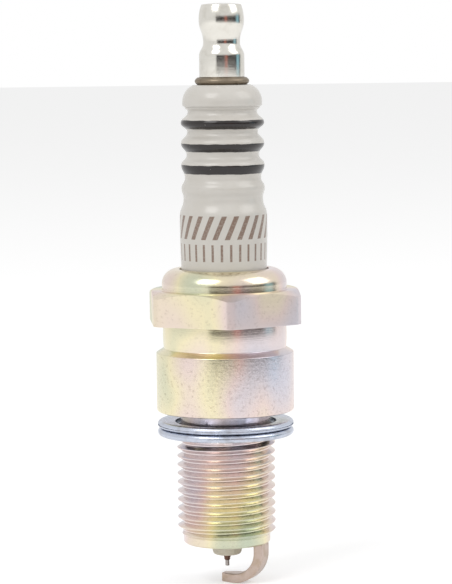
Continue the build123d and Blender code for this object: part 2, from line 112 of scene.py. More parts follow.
class ShellSizes(bpy.types.PropertyGroup):
    """Sizes of the steel shell."""
    thread_diameter: size("Thread diameter", "Over the crests of the mounting thread", 0.014)
    thread_pitch: size("Thread pitch", "From one crest to the next", 0.00125)
    reach: size("Reach", "From the gasket seat to the end of the shell", -SHELL_LOW[2])
    flange_height: size("Flange height", "Straight part above the seat", 0.00842)
    across_flats: size("Across flats", "Width of the spanner hexagon", 0.0208)


class CeramicSizes(bpy.types.PropertyGroup):
    """Sizes of the ceramic insulator."""
    body_diameter: size("Body diameter", "Smooth part between the ribs and the shell", 0.0124)
    rib_diameter: size("Rib diameter", "Over the ribs", 0.0118)
    head_diameter: size("Head diameter", "Over the head above the ribs", 0.0113)


class TerminalSizes(bpy.types.PropertyGroup):
    """Sizes of the stud and its nut."""
    nut_diameter: size("Nut diameter", "Over the skirt and the bulge", 0.0064)
    waist_diameter: size("Waist diameter", "At the thinnest part of the nut", 0.0052)
    flange_diameter: size("Stud flange diameter", "Collar of the stud on top of the ceramic", 0.0077)
    stud_diameter: size("Stud thread diameter", "Over the crests", 0.004)


class SparkSizes(bpy.types.PropertyGroup):
    """Sizes of the electrodes."""
    strap_width: size("Strap width", "Width of the ground electrode", 0.0027)
    strap_thickness: size("Strap thickness", "Thickness of the ground electrode", 0.0013)
    tip_diameter: size("Tip diameter", "Fine wire tip", 0.0006)


class GasketSizes(bpy.types.PropertyGroup):
    """Sizes of the folded gasket."""
    sheet: size("Sheet", "Thickness of the sheet", 0.00036)
    fold_width: size("Fold width", "Reach of the inner folds from the outer edge", 0.00155)
    dish: size("Dish", "How far the top layer slopes down to its inner edge", 0.00025)


class FinishColours(bpy.types.PropertyGroup):
    """Colours of the finishes."""
    plating_gold: colour("Plating, gold", "Yellow tint of the plating", tone(233, 223, 188))
    plating_pink: colour("Plating, pink", "Pink tint of the plating", tone(226, 208, 202))
    plating_green: colour("Plating, green", "Green tint of the plating", tone(188, 198, 178))
    plating_lilac: colour("Plating, lilac", "Lilac tint of the plating", tone(204, 203, 214))
    glaze: colour("Glaze", "Glazed ceramic", tone(209, 205, 198))
    bare_ceramic: colour("Bare ceramic", "Unglazed nose", tone(226, 219, 200))
    band: colour("Bands", "Painted bands on the ribs", tone(38, 33, 32))
    print: colour("Print", "Plain marks on the ceramic", tone(134, 112, 98))
    nickel: colour("Nickel plate", "Terminal nut", tone(222, 219, 211))
    stud: colour("Stud", "Bare steel of the stud", tone(138, 126, 110))
    gasket: colour("Gasket", "Steel of the gasket", tone(196, 202, 216))
    alloy: colour("Electrode alloy", "Ground electrode and centre wire", tone(196, 178, 168))


class Wire:
    """A node socket that can be added and multiplied like a number."""

    def __init__(self, tree, socket):
        self.tree = tree
        self.socket = socket

    def math(self, operation, *others):
        return self.tree.add("ShaderNodeMath", {"operation": operation}, dict(enumerate((self, *others))))

    def __add__(self, other):
        return self.math("ADD", other)

    def __radd__(self, other):
        return self.math("ADD", other)

    def __sub__(self, other):
        return self.math("SUBTRACT", other)

    def __rsub__(self, other):
        return self.tree.add("ShaderNodeMath", {"operation": "SUBTRACT"}, {0: other, 1: self})

    def __mul__(self, other):
        return self.math("MULTIPLY", other)

    def __rmul__(self, other):
        return self.math("MULTIPLY", other)

    def __truediv__(self, other):
        return self.math("DIVIDE", other)

    def __rtruediv__(self, other):
        return self.tree.add("ShaderNodeMath", {"operation": "DIVIDE"}, {0: other, 1: self})

    def low(self, other):
        return self.math("MINIMUM", other)

    def high(self, other):
        return self.math("MAXIMUM", other)

    def toward(self, other, share):
        return self + (other - self) * share

    def ramp(self, start, end):
        """0 below start, 1 above end and smooth between them."""
        return self.tree.add("ShaderNodeMapRange", {"interpolation_type": "SMOOTHSTEP"},
                             {0: self, 1: start, 2: end, 3: 0.0, 4: 1.0})

    def between(self, start, end, edge):
        """1 between start and end and 0 outside, with edges of that width."""
        return self.ramp(start - edge, start + edge) * (1 - self.ramp(end - edge, end + edge))


class Tree:
    """Builds a node tree."""

    def __init__(self, nodes):
        self.nodes = nodes

    def add(self, kind, settings=None, inputs=None, output=0):
        """Makes a node, sets it up, then gives its sockets their values or links."""
        node = self.nodes.nodes.new(kind)
        for name, value in (settings or {}).items():
            if name == "stops":
                self.set_stops(node.color_ramp, value)
            else:
                setattr(node, name, value)
        for key, value in (inputs or {}).items():
            if isinstance(value, Wire):
                self.nodes.links.new(value.socket, node.inputs[key])
            else:
                node.inputs[key].default_value = value
        return Wire(self, node.outputs[output]) if node.outputs else node

    def set_stops(self, ramp, stops):
        while len(ramp.elements) < len(stops):
            ramp.elements.new(0.5)
        for element, (place, value) in zip(ramp.elements, stops):
            element.position = place
            element.color = value

    def blend(self, share, first, second):
        """Colour between two colours."""
        return self.add("ShaderNodeMix", {"data_type": "RGBA"}, {0: share, 6: first, 7: second}, output=2)

    def multiply(self, share, first, second):
        """First colour darkened by the second."""
        return self.add("ShaderNodeMix", {"data_type": "RGBA", "blend_type": "MULTIPLY"},
                        {0: share, 6: first, 7: second}, output=2)

    def parts(self, vector):
        """The three numbers of a vector."""
        node = self.add("ShaderNodeSeparateXYZ", None, {0: vector}).socket.node
        return [Wire(self, output) for output in node.outputs]

    def vector(self, x, y, z):
        return self.add("ShaderNodeCombineXYZ", None, {0: x, 1: y, 2: z})

    def noise(self, place, scale, detail=3.0, roughness=0.5):
        return self.add("ShaderNodeTexNoise", None,
                        {"Vector": place, "Scale": scale, "Detail": detail, "Roughness": roughness})


class Finish(Tree):
    """A material whose patterns follow the piece, measured in millimetres."""

    def __init__(self, name, metallic=0.0, **constants):
        self.material = bpy.data.materials.new(name)
        self.material.use_nodes = True
        super().__init__(self.material.node_tree)
        self.nodes.nodes.clear()
        self.shader = self.nodes.nodes.new("ShaderNodeBsdfPrincipled")
        output = self.nodes.nodes.new("ShaderNodeOutputMaterial")
        self.nodes.links.new(self.shader.outputs[0], output.inputs[0])
        self.shader.inputs["Metallic"].default_value = metallic
        for socket, value in constants.items():
            self.shader.inputs[socket.replace("_", " ").title()].default_value = value
        spot = self.add("ShaderNodeTexCoord", output=3)
        self.place = self.add("ShaderNodeVectorMath", {"operation": "SCALE"}, {0: spot, "Scale": 1 / MM})
        self.x, self.y, self.z = self.parts(self.place)

    def stretched(self, across, along):
        """Place with its own scale across the axis and along it."""
        return self.vector(self.x * across, self.y * across, self.z * along)

    def around(self):
        """Angle about the axis, zero at the front and growing towards +X."""
        return self.x.math("ARCTAN2", self.y * -1)

    def set(self, socket, value):
        self.nodes.links.new(value.socket, self.shader.inputs[socket])

    def bump(self, height, depth):
        """Raises the surface by the height, where 1 stands for that depth in millimetres."""
        self.set("Normal", self.add("ShaderNodeBump", None,
                                    {"Strength": 1.0, "Distance": depth * MM, "Height": height}))


def plated_steel(colours):
    """Bright plating with gold, pink, green and lilac patches, turned and slightly worn."""
    finish = Finish("plated_steel", metallic=1.0)
    patches = finish.noise(finish.stretched(0.09, 0.05), 1.0, 1.5)
    tints = finish.add("ShaderNodeValToRGB", {"stops": [
        (0.30, colours.plating_green), (0.42, colours.plating_gold), (0.54, colours.plating_pink),
        (0.68, colours.plating_lilac)]}, {0: patches})
    grain = finish.noise(finish.place, 2.2, 5.0, 0.65)
    speck = finish.noise(finish.place, 5.0, 2.0)
    flange = finish.z.between(0.2, 8.4, 0.3)
    hexagon = finish.z.between(12.7, 17.4, 0.1)
    wear = grain.ramp(0.52, 0.72) * (0.18 + flange * 0.3 + hexagon * 0.1)
    worn = finish.multiply(wear, tints, (0.42, 0.36, 0.33, 1))
    dirt = speck.ramp(0.66, 0.72) * finish.z.between(-18, -3, 0.5) * 0.5
    finish.set("Base Color", finish.multiply(dirt, worn, (0.2, 0.16, 0.12, 1)))
    rings = finish.noise(finish.stretched(0.15, 9.0), 1.0, 2.0)
    finish.set("Roughness", 0.17 + grain * 0.1 + hexagon * 0.14 + flange * 0.05)
    finish.bump(rings * 0.5 + grain * (0.5 + hexagon * 1.2 + flange * 0.8), 0.012)
    return finish.material


def glazed_alumina(colours):
    """Glazed ceramic with three painted bands and plain printed marks, bare below the shell."""
    finish = Finish("glazed_alumina")
    cloud = finish.noise(finish.place, 0.35, 3.0)
    fine = finish.noise(finish.place, 3.5, 3.0)
    glaze = finish.multiply(cloud.ramp(0.4, 0.7) * 0.5, colours.glaze, (0.93, 0.92, 0.9, 1))
    bare = finish.multiply(fine.ramp(0.4, 0.7) * 0.6, colours.bare_ceramic, (0.88, 0.84, 0.78, 1))
    inside = 1 - finish.z.ramp(-1.0, 1.0)
    body = finish.blend(inside, glaze, bare)
    wobble = finish.z + (finish.noise(finish.stretched(0.5, 0.0), 1.0, 2.0) - 0.5) * 0.22
    bands = [wobble.between(low, high, 0.04) for low, high in ((40.15, 41.4), (36.95, 38.1), (33.85, 35.1))]
    band = bands[0].high(bands[1]).high(bands[2])
    chips = finish.noise(finish.place, 1.9, 4.0, 0.7).ramp(0.70, 0.73)
    band = band * (1 - chips)
    marks = printed_marks(finish)
    scuff = finish.noise(finish.place, 4.5, 3.0).ramp(0.3, 0.55)
    printed = finish.blend(marks * (0.72 + scuff * 0.25), body, colours.print)
    finish.set("Base Color", finish.blend(band, printed, colours.band))
    finish.set("Roughness", 0.2 + fine * 0.06 + inside * 0.35 - band * 0.04)
    finish.bump(cloud * 0.7 + band * 0.25 + fine * 0.08, 0.03)
    return finish.material


def printed_marks(finish):
    """A row of slanted bars above a row of short upright bars, on the front of the body."""
    arc = finish.around() * BODY_RADIUS
    front = 1 - arc.math("ABSOLUTE").ramp(9.6, 9.8)
    slanted = arc - (finish.z - 26.4) * 0.42
    bars = (slanted / 1.75).math("FRACT").between(0.2, 0.62, 0.02)
    upper = bars * finish.z.between(24.75, 28.05, 0.03)
    ticks = (arc / 1.32).math("FRACT").between(0.3, 0.56, 0.03)
    lower = ticks * finish.z.between(21.65, 24.05, 0.03)
    return upper.high(lower) * front


def turned_metal(name, tint, roughness, ring_depth, wear):
    """Turned metal with fine rings, faint clouds and a little wear."""
    finish = Finish(name, metallic=1.0)
    cloud = finish.noise(finish.place, 0.8, 4.0)
    rings = finish.noise(finish.stretched(0.2, 14.0), 1.0, 3.0)
    grain = finish.noise(finish.place, 6.0, 3.0)
    shaded = finish.multiply(cloud.ramp(0.45, 0.75) * wear, tint, (0.55, 0.5, 0.44, 1))
    finish.set("Base Color", finish.multiply(grain.ramp(0.6, 0.75) * wear, shaded, (0.5, 0.46, 0.42, 1)))
    finish.set("Roughness", roughness + cloud * 0.12 + grain * 0.04)
    finish.bump(rings + grain * 0.5, ring_depth)
    return finish.material


def drawn_metal(name, tint, roughness, wear):
    """Drawn or rolled metal with a grain and small dark spots."""
    finish = Finish(name, metallic=1.0)
    cloud = finish.noise(finish.place, 0.7, 4.0)
    grain = finish.noise(finish.place, 5.0, 4.0, 0.6)
    spots = finish.noise(finish.place, 2.4, 2.0).ramp(0.68, 0.73)
    shaded = finish.multiply(cloud.ramp(0.4, 0.7) * wear, tint, (0.72, 0.66, 0.5, 1))
    finish.set("Base Color", finish.multiply(spots * 0.6, shaded, (0.25, 0.2, 0.16, 1)))
    finish.set("Roughness", roughness + grain * 0.14)
    finish.bump(grain, 0.02)
    return finish.material


def powder(name, tint, roughness, grain_scale):
    """Pressed powder, glass or carbon, with a grain."""
    finish = Finish(name)
    grain = finish.noise(finish.place, grain_scale, 5.0, 0.7)
    finish.set("Base Color", finish.multiply(grain.ramp(0.4, 0.7), tint, (0.75, 0.73, 0.7, 1)))
    finish.set("Roughness", roughness + grain * 0.2)
    finish.bump(grain, 0.03)
    return finish.material


def turning_tree():
    """Node tree that turns rows of points about Z. Rows may climb as a thread or follow a hexagon."""
    group = bpy.data.node_groups.new("turned_piece", "GeometryNodeTree")
    lengths = ("Pitch", "Thread low", "Thread high", "Root radius", "Neck step", "Half flats",
               "Corner radius", "Top radius", "Hexagon top")
    sockets = (("Rows", "Geometry"), ("Sides", "Int"), *((label, "Float") for label in lengths),
               ("Material", "Material"))
    for label, kind in sockets:
        group.interface.new_socket(label, in_out="INPUT", socket_type="NodeSocket" + kind)
    group.interface.new_socket("Piece", in_out="OUTPUT", socket_type="NodeSocketGeometry")
    tree = Tree(group)
    entry = group.nodes.new("NodeGroupInput")
    given = {label: Wire(tree, entry.outputs[label]) for label, kind in sockets}
    rows, sides = given["Rows"], given["Sides"]
    count = tree.add("GeometryNodeAttributeDomainSize", {"component": "MESH"}, {0: rows})
    grid = tree.add("GeometryNodeMeshGrid", None, {"Vertices X": count, "Vertices Y": sides + 1})
    index = tree.add("GeometryNodeInputIndex")
    row = ((index + 0.5) / (sides + 1)).math("FLOOR")
    share = (index - row * (sides + 1)) / sides
    angle = share * FULL_TURN

    def of_row(value, kind):
        return tree.add("GeometryNodeSampleIndex", {"data_type": kind},
                        {"Geometry": rows, "Value": value, "Index": row})

    def tag(label):
        value = tree.add("GeometryNodeInputNamedAttribute", {"data_type": "FLOAT"}, {"Name": label})
        return of_row(value, "FLOAT")

    radius, _, height = tree.parts(of_row(tree.add("GeometryNodeInputPosition"), "FLOAT_VECTOR"))
    climbs, flats, chamfer, inward = tag("climbs"), tag("flats"), tag("chamfer"), tag("inward")
    low, high, root, step = (given[label] for label in lengths[1:5])
    climbed = (height + given["Pitch"] * share).high(low).low(high)
    thread = radius.low(root + (climbed - low)).low(root + (high - climbed))
    thread = thread.high(root + (climbed - high + step))
    nearest = (angle + math.pi / 6).math("MODULO", math.pi / 3) - math.pi / 6
    flat = given["Half flats"] / nearest.math("COSINE")
    hexagon = flat.math("SMOOTH_MIN", given["Corner radius"], 0.08 * MM)
    cone = hexagon.toward(given["Top radius"], inward)
    cone_height = given["Hexagon top"] - (cone - given["Top radius"]) * math.tan(math.radians(30))
    radius = radius.toward(thread, climbs).toward(hexagon, flats).toward(cone, chamfer)
    height = height.toward(climbed, climbs).toward(cone_height, chamfer)
    place = tree.vector(radius * angle.math("COSINE"), radius * angle.math("SINE"), height)
    surface = tree.add("GeometryNodeSetPosition", None, {"Geometry": grid, "Position": place})
    merged = tree.add("GeometryNodeMergeByDistance", None, {"Geometry": surface, "Distance": 0.0004 * MM})
    real = tree.add("GeometryNodeRealizeInstances", None, {0: merged})
    painted = tree.add("GeometryNodeSetMaterial", None, {"Geometry": real, "Material": given["Material"]})
    tree.add("NodeGroupOutput", None, {0: painted})
    return group


def shown(name, mesh):
    """Puts a mesh into the scene as an object at the origin."""
    piece = bpy.data.objects.new(name, mesh)
    bpy.context.scene.collection.objects.link(piece)
    return piece


def smooth(mesh, sharp_angle=36):
    """Closes the mesh, points its faces outwards and shades it smooth, with sharp edges kept."""
    work = bmesh.new()
    work.from_mesh(mesh)
    bmesh.ops.remove_doubles(work, verts=work.verts, dist=0.0004 * MM)
    bmesh.ops.dissolve_degenerate(work, edges=work.edges, dist=0.0002 * MM)
    loose = [edge for edge in work.edges if not edge.link_faces]
    bmesh.ops.delete(work, geom=loose, context="EDGES")
    bmesh.ops.recalc_face_normals(work, faces=work.faces)
    for face in work.faces:
        face.smooth = True
    limit = math.radians(sharp_angle)
    for edge in work.edges:
        edge.smooth = len(edge.link_faces) == 2 and edge.calc_face_angle(0) < limit
    if not all(edge.is_manifold for edge in work.edges):
        raise RuntimeError(f"{mesh.name} isn't closed")
    work.to_mesh(mesh)
    work.free()


def tagged(points, climbs=0.0, flats=0.0, chamfer=0.0, inward=0.0):
    """Rows of an outline, each with the tags that the turning tree reads."""
    return [(radius, height, climbs, flats, chamfer, inward) for radius, height in points]


def turned(name, rows, sides, material, sharp_angle=36, **sizes):
    """Turns a closed outline of tagged rows, in millimetres, into a finished mesh object."""
    mesh = bpy.data.meshes.new(name)
    closed = rows + rows[:1]
    mesh.from_pydata([(row[0] * MM, 0, row[1] * MM) for row in closed],
                     [(number, number + 1) for number in range(len(closed) - 1)], [])
    for place, label in enumerate(("climbs", "flats", "chamfer", "inward"), start=2):
        mesh.attributes.new(label, "FLOAT", "POINT").data.foreach_set("value", [row[place] for row in closed])
    piece = shown(name, mesh)
    modifier = piece.modifiers.new("turning", "NODES")
    modifier.node_group = bpy.data.node_groups.get("turned_piece") or turning_tree()
    values = {"Sides": sides, "Material": material}
    values.update({label.replace("_", " ").capitalize(): value * MM for label, value in sizes.items()})
    for socket in modifier.node_group.interface.items_tree:
        if socket.name in values:
            modifier[socket.identifier] = values[socket.name]
    return baked(piece, sharp_angle)


def baked(piece, sharp_angle=36):
    """Turns the evaluated piece into a plain mesh and removes its modifiers."""
    graph = bpy.context.evaluated_depsgraph_get()
    mesh = bpy.data.meshes.new_from_object(piece.evaluated_get(graph), depsgraph=graph)
    piece.modifiers.clear()
    piece.data = mesh
    smooth(mesh, sharp_angle)
    return piece


def placed(piece, body, slot, *nodes):
    """Rides a finished piece on its body, in place of its CAD nodes."""
    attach(piece, body)
    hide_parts(*nodes)


def rounded(points, steps=5):
    """Line of (radius, height) or (radius, height, corner radius) points, with its corners rounded."""
    line = []
    for number, point in enumerate(points):
        corner = Vector(point[:2])
        if len(point) == 2:
            line.append(tuple(corner))
            continue
        before = (Vector(points[number - 1][:2]) - corner).normalized()
        after = (Vector(points[number + 1][:2]) - corner).normalized()
        half = before.angle(after) / 2
        centre = corner + (before + after).normalized() * point[2] / math.sin(half)
        start = corner + before * point[2] / math.tan(half) - centre
        end = corner + after * point[2] / math.tan(half) - centre
        turn = start.angle_signed(end)
        for step in range(steps + 1):
            line.append(tuple(centre + start @ Matrix.Rotation(turn * step / steps, 2)))
    return line


def upright_arc(start, end, steps=10):
    """Arc that leaves its start parallel to the axis."""
    across, along = end[0] - start[0], end[1] - start[1]
    reach = (across ** 2 + along ** 2) / (2 * across)
    first = math.atan2(0, -reach)
    last = math.atan2(along, across - reach)
    turn = (last - first + math.pi) % FULL_TURN - math.pi
    angles = [first + turn * step / steps for step in range(steps + 1)]
    return [(start[0] + reach + abs(reach) * math.cos(angle), start[1] + abs(reach) * math.sin(angle))
            for angle in angles]


def flank(start, end, steps=10):
    """Smooth flank between two turning points, parallel to the axis at both."""
    middle = (start[1] + end[1]) / 2
    line = []
    for step in range(steps + 1):
        share = step / steps
        rest = 1 - share
        weights = (rest ** 3, 3 * rest ** 2 * share, 3 * rest * share ** 2, share ** 3)
        radii = (start[0], start[0], end[0], end[0])
        heights = (start[1], middle, middle, end[1])
        line.append((sum(weight * radius for weight, radius in zip(weights, radii)),
                     sum(weight * height for weight, height in zip(weights, heights))))
    return line


def thread_rows(crest, pitch, low, high, phase):
    """Rows of one thread ridge, repeated from below the low end to above the high end."""
    depth = THREAD_DEPTH_RATIO * pitch
    root = crest - depth
    flat = pitch / 16
    base = flat + depth * math.tan(math.radians(30))
    ease = 0.06 * pitch
    shape = ((-base - ease / 2, root), (-base + ease / 2, root + ease * 0.7),
             (-flat - ease / 2, crest - ease * 0.8), (-flat + ease / 3, crest), (flat - ease / 3, crest),
             (flat + ease / 2, crest - ease * 0.8), (base - ease / 2, root + ease * 0.7),
             (base + ease / 2, root))
    first = math.floor((low - phase) / pitch) - 2
    last = math.ceil((high - phase) / pitch) + 1
    return tagged([(radius, phase + turn * pitch + offset) for turn in range(first, last + 1)
                   for offset, radius in shape], climbs=1.0)


def shell_rows(sizes):
    """Outline of the shell: up the outside from the pilot to the lip, then down the bore."""
    crest = sizes.thread_diameter / 2 / MM
    pitch = sizes.thread_pitch / MM
    end = -sizes.reach / MM
    flange_top = sizes.flange_height / MM
    root = crest - THREAD_DEPTH_RATIO * pitch
    neck = root + NECK_STEP
    slope_top = flange_top + 0.66
    hex_low = slope_top + 3.62
    hex_top = hex_low + 4.7
    rows = tagged(rounded([(5.103 - 0.4, end), (root - 0.25, end), (root, end + 0.25),
                           (root, end + PILOT_LENGTH)]))
    rows += thread_rows(crest, pitch, end + PILOT_LENGTH, -NECK_LENGTH, end - 0.585)
    rows += tagged(rounded([(neck, -NECK_LENGTH), (neck, 0.12, 0.1), (9.78, 0.0, 0.35), (9.78, flange_top, 0.12),
                            (8.73, slope_top, 0.12), (8.8, slope_top + 0.9), (8.83, slope_top + 1.81),
                            (8.8, slope_top + 2.72), (8.73, hex_low)]))
    rows += tagged([(8.9, hex_low)])
    rows += tagged([(10, hex_low), (10, hex_low + 0.02), (10, hex_low + 2.0), (10, hex_low + 3.8)], flats=1.0)
    for inward in (0.0, 0.12, 0.5, 0.9, 1.0):
        rows += tagged([(10, hex_top)], chamfer=1.0, inward=inward)
    rows += tagged([(9.5, hex_top), (8.98, hex_top), (8.9, hex_top + 0.06), (8.88, hex_top + 0.2)])
    lip = upright_arc((8.88, hex_top + 0.8), (6.38, hex_top + 2.92), 20)
    rows += tagged(lip[:-1] + rounded([lip[-2], lip[-1] + (0.1,), (6.38, hex_top + 1.72)])[1:])
    rows += tagged([(7.21, 19.12), (7.63, 18.7), (7.63, 2.66), (5.103, 1.2), (5.103, -6.5), (4.253, -6.99),
                    (4.253, -7.89), (4.703, -8.34), (4.703, end)])
    return rows[1:], crest, pitch, root, end


class PLUG_OT_shell(bpy.types.Operator):
    """Builds the plated steel shell with its thread, flange, hexagon and crimped lip"""
    bl_idname = "plug.shell"
    bl_label = "Shell"

    def execute(self, context):
        sizes = context.scene.plug_shell
        rows, crest, pitch, root, end = shell_rows(sizes)
        half = sizes.across_flats / 2 / MM
        shell = turned("shell", rows, 288, plated_steel(context.scene.plug_colours), sharp_angle=34, pitch=pitch,
                       thread_low=end + PILOT_LENGTH, thread_high=-NECK_LENGTH, root_radius=root,
                       neck_step=NECK_STEP, half_flats=half, corner_radius=half * 2 / math.sqrt(3) - 0.31,
                       top_radius=half - 0.155, hexagon_top=HEX_TOP)
        placed(shell, "plug_body", "plated_steel", "metal_shell")
        return {"FINISHED"}


def ceramic_rows(sizes):
    """Outline of the insulator: up the outside from the nose, then down the bore."""
    body = sizes.body_diameter / 2 / MM
    rib = sizes.rib_diameter / 2 / MM
    head = sizes.head_diameter / 2 / MM
    line = rounded([(1.3, -20.8), (1.95, -20.8, 0.44), (2.4, -19.0), (4.053, -7.89), (4.053, -6.59),
                    (4.853, -6.13), (4.853, 1.7), (7.43, 3.19), (7.43, 12.3, 0.3), (6.08, 12.3), (6.08, 20.32),
                    (body, 24.8)])
    turning = [(body, 27.7), (5.63, 30.3), (rib, 31.75), (5.4, 33.2), (rib, 35.05), (5.12, 36.4), (rib, 38.1),
               (5.0, 39.7), (rib, 40.95), (4.9, 42.55), (head - 0.3, 43.25)]
    for start, end in zip(turning, turning[1:]):
        line += flank(start, end)[:-1]
    line += rounded([turning[-1], (head, 43.25, 0.28), (head, 43.9)], 6)[:-1]
    crown = upright_arc((head, 43.9), (4.1, 46.3), 16)
    line += crown[:-1] + rounded([crown[-2], crown[-1] + (0.2,), (2.05, 46.3)])[1:]
    line += [(2.05, -1.567), (1.3, -2.0)]
    return tagged(line)


class PLUG_OT_ceramic(bpy.types.Operator):
    """Builds the glazed insulator with its ribs, painted bands and bare nose"""
    bl_idname = "plug.ceramic"
    bl_label = "Insulator"

    def execute(self, context):
        rows = ceramic_rows(context.scene.plug_ceramic)
        piece = turned("insulator_body", rows, 168, glazed_alumina(context.scene.plug_colours), sharp_angle=40)
        placed(piece, "plug_body", "glazed_alumina", "insulator")
        return {"FINISHED"}


def nut_rows(sizes):
    """Outline of the terminal nut: up the outside, over the dome and down the bore."""
    low = NUT_LOW[2] / MM
    full = sizes.nut_diameter / 2 / MM
    waist = sizes.waist_diameter / 2 / MM
    line = rounded([(2.06, low), (full, low, 0.1), (full, low + 2.9)])
    line += flank((full, low + 2.95), (waist, low + 4.95), 12)
    line += flank((waist, low + 4.95), (full, low + 8.1), 14)[1:]
    side = upright_arc((full, low + 8.1), (2.8, low + 10.23), 8)
    line += side[1:-1] + rounded([side[-2], side[-1] + (0.14,), (2.0, low + 10.34)])[1:-1]
    line += [(radius, low + 10.45 - 0.22 * (radius / 2.8) ** 2) for radius in (2.3, 1.6, 0.8, 0.0)]
    line += [(0.0, low + 9.44), (2.06, low + 8.25)]
    return tagged(line)


def stud_rows(sizes):
    """Outline of the stud: up the outside from the gripped end, then the thread."""
    flange = sizes.flange_diameter / 2 / MM
    crest = sizes.stud_diameter / 2 / MM
    root = crest - THREAD_DEPTH_RATIO * STUD_PITCH
    line = [(0.0, 16.0), (1.6, 16.0)]
    for ring in range(4):
        middle = 16.3 + 0.6 * ring
        line += [(1.6, middle - 0.15), (1.5, middle - 0.11), (1.45, middle), (1.5, middle + 0.11),
                 (1.6, middle + 0.15)]
    line += [(1.6, 18.4), (1.95, 18.75), (1.95, 46.3), (flange - 0.4, 46.3)]
    bow = [(flange - 0.4 * (step / 6) ** 2, 46.825 + 0.525 * step / 6) for step in range(-5, 6)]
    line += bow + [(flange - 0.4, 47.35), (root, 47.35)]
    rows = tagged(line) + thread_rows(crest, STUD_PITCH, STUD_THREAD_LOW, STUD_THREAD_HIGH, 46.65)
    rows += tagged([(root, STUD_THREAD_HIGH), (root, 55.25), (0.0, 55.25)])
    return rows, root


class PLUG_OT_terminal(bpy.types.Operator):
    """Builds the stud and the waisted nut on top of it"""
    bl_idname = "plug.terminal"
    bl_label = "Terminal"

    def execute(self, context):
        sizes = context.scene.plug_terminal
        colours = context.scene.plug_colours
        nickel = turned_metal("nickel_plate", colours.nickel, 0.1, 0.004, 0.25)
        nut = turned("nut", nut_rows(sizes), 128, nickel, sharp_angle=40)
        placed(nut, "terminal_nut", "nickel_plate", "terminal_nut")
        rows, root = stud_rows(sizes)
        steel = turned_metal("stud_steel", colours.stud, 0.36, 0.008, 0.6)
        stud = turned("stud", rows, 96, steel, sharp_angle=40, pitch=STUD_PITCH,
                      thread_low=STUD_THREAD_LOW, thread_high=STUD_THREAD_HIGH, root_radius=root)
        placed(stud, "plug_body", "stud_steel", "terminal_stud")
        return {"FINISHED"}


def moved(line, distance):
    """The line moved sideways by a distance to its left."""
    points = [Vector(point) for point in line]
    result = []
    for number, point in enumerate(points):
        before = (point - points[number - 1]).normalized() if number else None
        after = (points[number + 1] - point).normalized() if number + 1 < len(points) else None
        ways = [way for way in (before, after) if way is not None]
        lefts = [Vector((-way[1], way[0])) for way in ways]
        left = sum(lefts, Vector((0, 0))).normalized()
        result.append(tuple(point + left * distance / max(left.dot(lefts[0]), 0.5)))
    return result


def gasket_rows(sizes):
    """Section of the folded sheet, with both of its sides."""
    low, high = GASKET_LOW[2] / MM, GASKET_HIGH[2] / MM
    sheet = sizes.sheet / MM
    outer = GASKET_HIGH[0] / MM - sheet / 2
    fold = outer + sheet / 2 - sizes.fold_width / MM
    bottom, top = low + sheet / 2, high - sheet / 2
    lower = (bottom + top - 0.44) / 2
    upper = lower + 0.44
    bead = (lower - bottom) * 0.48
    turn = 0.44 * 0.48
    line = rounded([(7.25, bottom), (outer, bottom, bead), (outer, lower, bead), (fold, lower, turn),
                    (fold, upper, turn), (outer, upper, bead), (outer, top, bead),
                    (7.25, top - sizes.dish / MM)], 6)
    left = moved(line, sheet / 2)
    right = moved(line, -sheet / 2)
    return tagged(left + right[::-1])


class PLUG_OT_gasket(bpy.types.Operator):
    """Builds the folded steel gasket below the flange"""
    bl_idname = "plug.gasket"
    bl_label = "Gasket"

    def execute(self, context):
        steel = turned_metal("gasket_steel", context.scene.plug_colours.gasket, 0.2, 0.006, 0.45)
        piece = turned("folded_gasket", gasket_rows(context.scene.plug_gasket), 192, steel, sharp_angle=60)
        placed(piece, "gasket", "gasket_steel", "gasket")
        return {"FINISHED"}


def strap_mesh(sizes):
    """Bent strap with rounded edges that narrows towards its end."""
    thick = sizes.strap_thickness / MM
    half = sizes.strap_width / 2 / MM
    outer = 5.953
    bend = 4.5
    middle = bend - thick / 2
    low = STRAP_LOW[2] / MM
    stations = [((outer - thick / 2, -19.0), 0.0), ((outer - thick / 2, -19.6), 0.0)]
    for step in range(17):
        turn = math.pi / 2 * step / 16
        stations.append(((outer - bend + middle * math.cos(turn), low + bend - middle * math.sin(turn)), turn))
    for reach in (1.3, 0.8, 0.3, -0.2, -0.5, -0.58, -0.6):
        stations.append(((reach, low + thick / 2), math.pi / 2))
    mesh = bpy.data.meshes.new("ground_strap")
    work = bmesh.new()
    loops = []
    for number, ((reach, height), turn) in enumerate(stations):
        wide = half if reach >= 1.3 else 0.65 + (half - 0.65) * (reach + 0.6) / 1.9
        trim = {len(stations) - 1: 0.1, len(stations) - 2: 0.03}.get(number, 0.0)
        loops.append(strap_loop(work, reach, height, turn, wide - trim, thick / 2 - trim))
    for first, second in zip(loops, loops[1:]):
        for number in range(len(first)):
            after = (number + 1) % len(first)
            work.faces.new((first[number], first[after], second[after], second[number]))
    work.faces.new(loops[0])
    work.faces.new(loops[-1][::-1])
    bmesh.ops.scale(work, vec=(MM, MM, MM), verts=work.verts)
    bmesh.ops.rotate(work, cent=(0, 0, 0), matrix=Matrix.Rotation(STRAP_AZIMUTH, 3, "Z"), verts=work.verts)
    work.to_mesh(mesh)
    work.free()
    return mesh


def strap_loop(work, reach, height, turn, wide, half_thick):
    """One rounded section of the strap."""
    corner = 0.16
    ring = []
    for side, centre in enumerate(((half_thick - corner, wide - corner), (corner - half_thick, wide - corner),
                                   (corner - half_thick, corner - wide), (half_thick - corner, corner - wide))):
        for step in range(4):
            angle = math.radians(90 * side + 30 * step)
            across = centre[0] + corner * math.cos(angle)
            along = centre[1] + corner * math.sin(angle)
            ring.append(work.verts.new((reach + across * math.cos(turn), along, height - across * math.sin(turn))))
    return ring


